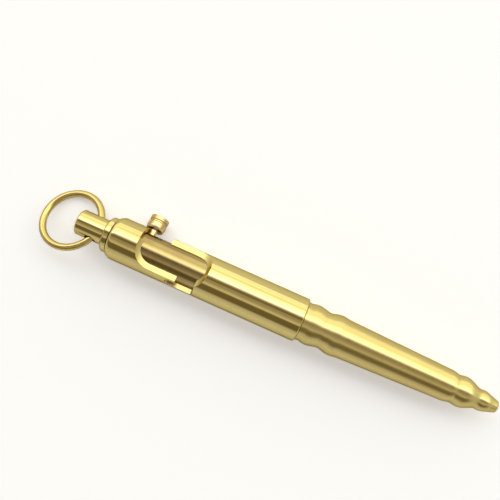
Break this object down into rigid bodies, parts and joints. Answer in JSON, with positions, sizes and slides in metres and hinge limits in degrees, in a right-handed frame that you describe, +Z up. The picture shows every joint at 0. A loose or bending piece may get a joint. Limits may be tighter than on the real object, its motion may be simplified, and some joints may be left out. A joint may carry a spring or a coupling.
{
  "type": "retractable ballpoint pen",
  "caption": "Solid brass bolt-action ballpoint pen: a knurled handle in a milled window pushes the refill out; a key ring hangs at the tail.",
  "frame": {"origin": "on the surface the pen lies on, under the middle of its bounding box, key ring and handle included", "axes": "+X along the pen's axis, towards the writing end; +Z up; the handle points to +Y, about 21 degrees below level"},
  "size_m": [0.132, 0.0198, 0.012],
  "materials": {
    "turned_brass": "fine turned, polished",
    "satin_brass": "fine turned, satin",
    "wire_brass": "drawn wire, satin",
    "handle_brass": "turned and knurled",
    "refill_brass": "turned",
    "point_metal": "turned nickel silver",
    "ball_metal": "lapped",
    "spring_steel": "drawn wire",
    "refill_plastic": "translucent, extruded",
    "ink": "ink paste",
    "seal_rubber": "moulded"
  },
  "bodies": {
    "body": {"barrel": "turned_brass", "tail_cap": "turned_brass", "nose_section": "satin_brass", "nose_seal": "seal_rubber", "return_spring": "spring_steel"},
    "refill": {"refill_tube": "refill_plastic", "refill_point_holder": "refill_brass", "refill_point": "point_metal", "writing_ball": "ball_metal", "ink_column": "ink"},
    "bolt": {"bolt": "turned_brass", "handle_screw": "handle_brass"},
    "ring": {"key_ring": "wire_brass"}
  },
  "joints": [
    {"name": "refill_slide", "type": "slide", "parent": "body", "child": "refill", "axis": [1, 0, 0], "range_m": [0, 0.0153], "stiffness_N_per_m": 100, "springref_m": -0.01, "deforming": ["return_spring"]},
    {"name": "bolt_turn", "type": "hinge", "parent": "refill", "child": "bolt", "pos_m": [0, -0.00056, 0.00598], "axis": [1, 0, 0], "range_deg": [0, 156.5]},
    {"name": "ring_swing", "type": "hinge", "parent": "body", "child": "ring", "pos_m": [-0.04924, -0.00056, 0.00598], "axis": [0, 0.9355, -0.3533], "range_deg": [-77.3, 102.7]}
  ],
  "couplings": [
    {"joint": "bolt_turn", "follows": "refill_slide", "rad_per_m": 178}
  ]
}
